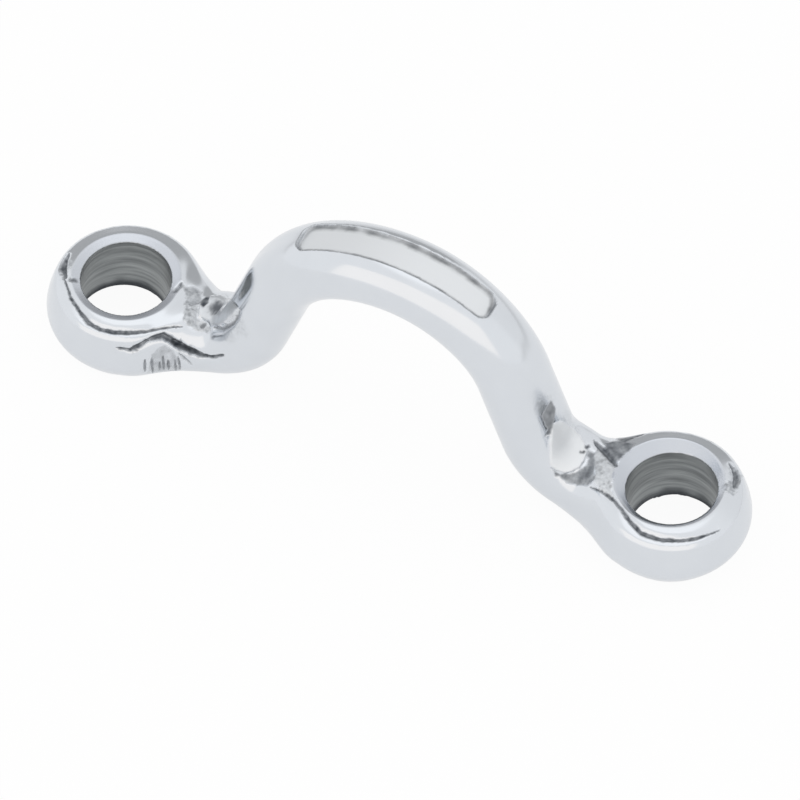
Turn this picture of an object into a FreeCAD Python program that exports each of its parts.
# Forged eye strap, drawn as one PartDesign body in millimetres.
# A bar of oval section is bent into a bow. Each end runs flat into an eye, which takes a
# countersunk screw. X runs from eye to eye, Y across the bar and Z up from the deck.
# The origin lies on the deck, midway between the two screws.

import FreeCAD, Part
import math
import os
import Sketcher

# Driving sizes: lengths in millimetres and angles in degrees
SIZES = {
    # The screw holes, and the countersink round the top of each
    "hole_spacing": 38.0,
    "bore_dia": 5.8,
    "countersink_width": 0.55,
    "countersink_angle": 122.0,
    # The eye outside its countersink: a flat land on a raised collar, a ledge round the
    # collar, and a barrel whose walls slope out from ledge and deck to an upright band
    "land_width": 0.7,
    "collar_bevel": 0.2,
    "collar_height": 0.45,
    "ledge_width": 0.3,
    "barrel_swell": 0.72,
    "barrel_tuck": 1.2,
    "band_foot": 1.8,
    "band_height": 1.1,
    # The bow: an arc over the crown and a tighter bend into each foot, with a sideways gap
    # between them that a straight riser crosses; the foot runs from its bend to the screw
    # axis, just clear of the deck
    "bow_height": 18.25,
    "riser_gap": 0.95,
    "foot_bend_radius": 4.5,
    "foot_run": 5.0,
    "foot_relief": 0.05,
    # The oval section of the bar: its thickness, and how much wider than that it is
    "bar_thickness": 4.45,
    "bar_spread": 0.55,
    # Where the foot flares into the eye: flatter than the bar, its top below the ledge and
    # its sides inside the barrel's
    "neck_flattening": 0.25,
    "neck_step": 0.15,
    "neck_inset": 0.2,
    # The shallow marking panel sunk in the crown, and the height of its long walls
    "panel_width": 2.1,
    "panel_angle": 76.0,
    "panel_wall": 0.13,
    "panel_corner_radius": 0.7,
}

# Sizes that follow from the driving ones
FORMULAS = {
    "screw_axis": "sizes.hole_spacing / 2",
    "bore_radius": "sizes.bore_dia / 2",
    "countersink_dia": "sizes.bore_dia + 2 * sizes.countersink_width",
    "collar_radius": "sizes.bore_dia / 2 + sizes.countersink_width + sizes.land_width",
}
FORMULAS["ledge_radius"] = FORMULAS["collar_radius"] + " + sizes.ledge_width"
FORMULAS["eye_radius"] = FORMULAS["ledge_radius"] + " + sizes.barrel_swell"
FORMULAS["base_radius"] = FORMULAS["eye_radius"] + " - sizes.barrel_tuck"
FORMULAS["neck_thickness"] = "sizes.bar_thickness - sizes.neck_flattening"
FORMULAS["neck_spread"] = (
    f"2 * ({FORMULAS['eye_radius']} - sizes.neck_inset) - ({FORMULAS['neck_thickness']})"
)
FORMULAS["foot_axis"] = "sizes.foot_relief + sizes.bar_thickness / 2"
FORMULAS["ledge_height"] = (
    f"{FORMULAS['foot_axis']} + ({FORMULAS['neck_thickness']}) / 2 + sizes.neck_step"
)
FORMULAS["eye_height"] = FORMULAS["ledge_height"] + " + sizes.collar_height"
FORMULAS["crown_axis"] = "sizes.bow_height - sizes.bar_thickness / 2"
FORMULAS["crown_bend_radius"] = (
    f"{FORMULAS['screw_axis']} - sizes.foot_run - sizes.foot_bend_radius - sizes.riser_gap"
)
FORMULAS["crown_centre"] = f"{FORMULAS['crown_axis']} - ({FORMULAS['crown_bend_radius']})"
FORMULAS["panel_depth"] = (
    "sizes.panel_wall + sizes.bar_thickness / 2"
    " - sqrt((sizes.bar_thickness / 2) ^ 2 - ((sizes.panel_width - sizes.bar_spread) / 2) ^ 2)"
)

# The edges of the bow's path, in the order that they lie from the eye to the crown
FOOT, BEND, RISER, CROWN = "Edge1", "Edge2", "Edge3", "Edge4"

# The points of a curve, the axes of a sketch and its origin, as a sketch numbers them
START, END, CENTRE = range(1, 4)
H_AXIS, V_AXIS = range(-1, -3, -1)
ORIGIN = (H_AXIS, START)

# How a panel corner is told apart: the share that two lengths may differ by, and the kind
# of a straight edge
MATCH = 0.03
STRAIGHT = "Part::GeomLine"

UP = FreeCAD.Vector(0, 0, 1)


def make_sheet(doc):
    """Put every driving size in the sheet under its own name."""
    sheet = doc.addObject("Spreadsheet::Sheet", "sizes")
    for row, (name, value) in enumerate(SIZES.items(), start=1):
        sheet.set(f"A{row}", name)
        sheet.set(f"B{row}", str(value))
        sheet.setAlias(f"B{row}", name)
    doc.recompute()


def formula(name):
    """The expression for a size: its own formula, or its cell in the sheet."""
    return FORMULAS.get(name, f"sizes.{name}")


def value(name):
    """A size as a number."""
    return float(FreeCAD.ActiveDocument.sizes.evalExpression(formula(name)))


def origin_plane(body, role):
    """One of the body's own origin planes."""
    return next(plane for plane in body.Origin.OriginFeatures if plane.Role == role)


def plane_sketch(body, name, role, axis=None, shift=None):
    """A sketch on an origin plane, moved along one of its own axes by a named size."""
    sketch = body.newObject("Sketcher::SketchObject", name)
    sketch.AttachmentSupport = [(origin_plane(body, role), "")]
    sketch.MapMode = "FlatFace"
    if shift:
        sketch.setExpression(f"AttachmentOffset.Base.{axis}", formula(shift))
    return sketch


def point(across, up):
    """A point in a sketch's own plane."""
    return FreeCAD.Vector(across, up, 0)


def line(sketch, start, end, guide=False):
    """Draw a line, or a guide line, and give back its number."""
    return sketch.addGeometry(Part.LineSegment(point(*start), point(*end)), guide)


def arc(sketch, centre, start, end):
    """Draw an arc about a centre, counter-clockwise from one point to another."""
    start_angle = math.atan2(start[1] - centre[1], start[0] - centre[0])
    end_angle = math.atan2(end[1] - centre[1], end[0] - centre[0])
    circle = Part.Circle(point(*centre), UP, math.dist(centre, start))
    return sketch.addGeometry(Part.ArcOfCircle(circle, start_angle, end_angle), False)


def fix(sketch, *rules):
    """Add rules of shape that carry no size."""
    for rule in rules:
        sketch.addConstraint(Sketcher.Constraint(*rule))


def size(sketch, name, *rule):
    """Add a dimension and bind it to a named size."""
    number = sketch.addConstraint(Sketcher.Constraint(*rule, value(name)))
    sketch.setExpression(f"Constraints[{number}]", formula(name))


def feature(body, kind, name, **settings):
    """Add a PartDesign feature and recompute."""
    item = body.newObject(f"PartDesign::{kind}", name)
    for key, setting in settings.items():
        setattr(item, key, setting)
    body.Document.recompute()
    return item


def bow_path(body):
    """Draw half the bar's centre line: crown arc, straight riser, foot bend and foot."""
    crown_radius, foot_radius = value("crown_bend_radius"), value("foot_bend_radius")
    crown_top = (0, value("crown_axis"))
    eye = (value("screw_axis"), value("foot_axis"))
    toe = (eye[0] - value("foot_run"), eye[1])
    crown_centre = (0, crown_top[1] - crown_radius)
    bend_centre = (toe[0], toe[1] + foot_radius)

    # The riser touches both arcs, one from outside and one from inside
    reach = math.dist(crown_centre, bend_centre)
    both_radii = crown_radius + foot_radius
    fall = math.atan2(bend_centre[1] - crown_centre[1], bend_centre[0])
    lean = math.asin(both_radii / reach) - fall
    outward = (math.sin(lean), math.cos(lean))
    riser_top = [at + crown_radius * way for at, way in zip(crown_centre, outward)]
    knee = [at - foot_radius * way for at, way in zip(bend_centre, outward)]

    path = plane_sketch(body, "bow_path", "XZ_Plane")
    crown = arc(path, crown_centre, riser_top, crown_top)
    riser = line(path, riser_top, knee)
    bend = arc(path, bend_centre, knee, toe)
    foot = line(path, toe, eye)
    fix(
        path,
        ("Tangent", crown, START, riser, START),
        ("Tangent", riser, END, bend, START),
        ("Tangent", bend, END, foot, START),
        ("PointOnObject", crown, CENTRE, V_AXIS),
        ("PointOnObject", crown, END, V_AXIS),
        ("Horizontal", foot),
    )
    size(path, "crown_bend_radius", "Radius", crown)
    size(path, "foot_bend_radius", "Radius", bend)
    size(path, "crown_axis", "DistanceY", *ORIGIN, crown, END)
    size(path, "foot_axis", "DistanceY", *ORIGIN, foot, END)
    size(path, "screw_axis", "DistanceX", *ORIGIN, foot, END)
    size(path, "foot_run", "DistanceX", foot, START, foot, END)
    return path


def oval(body, name, path, edge, along, spread, thickness):
    """Draw a section square to one edge of the path: two rounds, parted by its spread."""
    half, radius = value(spread) / 2, value(thickness) / 2
    sketch = body.newObject("Sketcher::SketchObject", name)
    sketch.AttachmentSupport = [(path, edge)]
    sketch.MapMode = "NormalToEdge"
    sketch.MapPathParameter = along
    right = arc(sketch, (half, 0), (half, -radius), (half, radius))
    top = line(sketch, (half, radius), (-half, radius))
    left = arc(sketch, (-half, 0), (-half, radius), (-half, -radius))
    bottom = line(sketch, (-half, -radius), (half, -radius))
    sides = [right, top, left, bottom]
    for side, following in zip(sides, sides[1:] + sides[:1]):
        fix(sketch, ("Tangent", side, END, following, START))
    fix(
        sketch,
        ("Horizontal", top),
        ("Equal", left, right),
        ("Symmetric", left, CENTRE, right, CENTRE, *ORIGIN),
    )
    size(sketch, spread, "DistanceX", left, CENTRE, right, CENTRE)
    size(sketch, thickness, "Diameter", right)
    return sketch


def sweep_bow(body):
    """Sweep the bar from the crown down to the foot, then flare the foot out to the eye."""
    path = bow_path(body)
    body.Document.recompute()
    bar = oval(body, "bar_section", path, FOOT, 0, "bar_spread", "bar_thickness")
    neck = oval(body, "neck_section", path, FOOT, 1, "neck_spread", "neck_thickness")
    body.Document.recompute()
    bow = feature(
        body, "AdditivePipe", "bow", Profile=bar, Spine=(path, [BEND, RISER, CROWN])
    )
    foot = feature(
        body, "AdditivePipe", "foot",
        Profile=bar, Spine=(path, [FOOT]), Sections=[neck], Transformation="Multisection",
    )
    return [bow, foot]


def turn_eye(body):
    """Turn the eye's barrel and its raised collar about the screw axis."""
    top, ledge = value("eye_height"), value("ledge_height")
    collar, bevel = value("collar_radius"), value("collar_bevel")
    belly, band = value("eye_radius"), value("band_foot")
    corners = [
        (0, 0),
        (value("base_radius"), 0),
        (belly, band),
        (belly, band + value("band_height")),
        (value("ledge_radius"), ledge),
        (collar, ledge),
        (collar, top - bevel),
        (collar - bevel, top),
        (0, top),
    ]
    profile = plane_sketch(body, "eye_profile", "XZ_Plane", "x", "screw_axis")
    sides = [line(profile, *ends) for ends in zip(corners, corners[1:] + corners[:1])]
    floor, lower, girth, upper, step, wall, corner, land, axis = sides
    for side, following in zip(sides, sides[1:]):
        fix(profile, ("Coincident", side, END, following, START))
    fix(
        profile,
        ("Coincident", floor, START, *ORIGIN),
        ("Coincident", axis, END, *ORIGIN),
        ("PointOnObject", axis, START, V_AXIS),
        ("Horizontal", floor),
        ("Vertical", girth),
        ("Horizontal", step),
        ("Vertical", wall),
        ("Horizontal", land),
    )
    size(profile, "base_radius", "DistanceX", *ORIGIN, lower, START)
    size(profile, "eye_radius", "DistanceX", *ORIGIN, lower, END)
    size(profile, "band_foot", "DistanceY", *ORIGIN, girth, START)
    size(profile, "band_height", "DistanceY", girth, START, girth, END)
    size(profile, "ledge_radius", "DistanceX", *ORIGIN, upper, END)
    size(profile, "ledge_height", "DistanceY", *ORIGIN, upper, END)
    size(profile, "collar_radius", "DistanceX", *ORIGIN, wall, START)
    size(profile, "collar_bevel", "DistanceX", corner, END, corner, START)
    size(profile, "collar_bevel", "DistanceY", corner, START, corner, END)
    size(profile, "eye_height", "DistanceY", *ORIGIN, axis, START)
    return feature(body, "Revolution", "eye", Profile=profile,
                   ReferenceAxis=(profile, ["V_Axis"]), Angle=360)


def mirror_half(body, half):
    """Mirror the swept bar and the eye to the other side of the crown."""
    both = feature(body, "Mirrored", "both_sides", Originals=half,
                   MirrorPlane=(origin_plane(body, "YZ_Plane"), [""]))
    body.Tip = both
    body.Document.recompute()
    return both


def sink_panel(body):
    """Cut the marking panel, a shallow flat that follows the crown's arc."""
    top = value("bow_height")
    floor = top - value("panel_depth")
    half = value("panel_width") / 2
    centre = value("crown_centre")
    profile = plane_sketch(body, "panel_profile", "YZ_Plane")
    corners = [(-half, floor), (half, floor), (half, top), (-half, top)]
    sides = [line(profile, *ends) for ends in zip(corners, corners[1:] + corners[:1])]
    hinge = line(profile, (0, centre), (half, centre), guide=True)
    for side, following in zip(sides, sides[1:] + sides[:1]):
        fix(profile, ("Coincident", side, END, following, START))
    fix(
        profile,
        ("Horizontal", sides[0]),
        ("Vertical", sides[1]),
        ("Vertical", sides[3]),
        ("Symmetric", sides[2], START, sides[2], END, V_AXIS),
        ("PointOnObject", hinge, START, V_AXIS),
        ("Horizontal", hinge),
        ("Equal", hinge, sides[0]),
    )
    size(profile, "panel_width", "DistanceX", sides[0], START, sides[0], END)
    size(profile, "bow_height", "DistanceY", *ORIGIN, sides[1], END)
    size(profile, "panel_depth", "DistanceY", sides[1], START, sides[1], END)
    size(profile, "crown_centre", "DistanceY", *ORIGIN, hinge, START)
    panel = feature(body, "Groove", "marking_panel", Profile=profile,
                    ReferenceAxis=(profile, ["Axis0"]), Midplane=True)
    panel.setExpression("Angle", formula("panel_angle"))
    body.Document.recompute()
    return panel


def is_panel_corner(edge):
    """A short upright edge at a corner of the marking panel."""
    beside = math.isclose(abs(edge.CenterOfMass.y), value("panel_width") / 2, rel_tol=MATCH)
    return beside and edge.Length < value("panel_depth") and edge.Curve.TypeId == STRAIGHT


def round_edges(body, name, base, test, radius):
    """Fillet the edges of the base that pass a test."""
    edges = enumerate(base.Shape.Edges, start=1)
    names = [f"Edge{number}" for number, edge in edges if test(edge)]
    rounded = feature(body, "Fillet", name, Base=(base, names))
    rounded.setExpression("Radius", formula(radius))
    body.Document.recompute()
    return rounded


def drill_eyes(body):
    """Drill a countersunk screw hole down through each eye."""
    centres = plane_sketch(body, "screw_centres", "XY_Plane", "z", "eye_height")
    away = value("screw_axis")
    left, right = (
        centres.addGeometry(Part.Circle(point(across, 0), UP, value("bore_radius")), False)
        for across in (-away, away)
    )
    fix(
        centres,
        ("PointOnObject", right, CENTRE, H_AXIS),
        ("Symmetric", left, CENTRE, right, CENTRE, *ORIGIN),
        ("Equal", left, right),
    )
    size(centres, "hole_spacing", "DistanceX", left, CENTRE, right, CENTRE)
    size(centres, "bore_radius", "Radius", right)
    holes = feature(body, "Hole", "screw_holes", Profile=centres)
    holes.ThreadType = "None"
    holes.DepthType = "ThroughAll"
    holes.DrillPoint = "Flat"
    holes.HoleCutType = "Countersink"
    holes.HoleCutCustomValues = True
    holes.setExpression("Diameter", formula("bore_dia"))
    holes.setExpression("HoleCutDiameter", formula("countersink_dia"))
    holes.setExpression("HoleCutCountersinkAngle", formula("countersink_angle"))
    body.Document.recompute()
    return holes


def check(doc, part):
    """Stop if any object failed or the part isn't one sound solid."""
    failed = [item.Name for item in doc.Objects if {"Invalid", "Error"} & set(item.State)]
    loose = [item.Name for item in doc.findObjects("Sketcher::SketchObject")
             if not item.FullyConstrained]
    shape = part.Shape
    sound = not shape.isNull() and shape.isValid() and len(shape.Solids) == 1
    if failed or loose or not sound:
        raise RuntimeError(f"failed: {failed}, loose sketches: {loose}, one sound solid: {sound}")


doc = FreeCAD.newDocument("eye_strap")
make_sheet(doc)
strap = doc.addObject("PartDesign::Body", "eye_strap")
strap.Label = "eye_strap"
strap.Placement = FreeCAD.Placement()
mirror_half(strap, sweep_bow(strap) + [turn_eye(strap)])
round_edges(strap, "panel_corners", sink_panel(strap), is_panel_corner, "panel_corner_radius")
strap.Tip = drill_eyes(strap)
doc.recompute()
check(doc, strap)
os.makedirs("parts", exist_ok=True)
strap.Shape.exportStep(f"parts/{strap.Label}.step")
print(f"{strap.Label}: {strap.Shape.Volume:.0f} cubic mm")
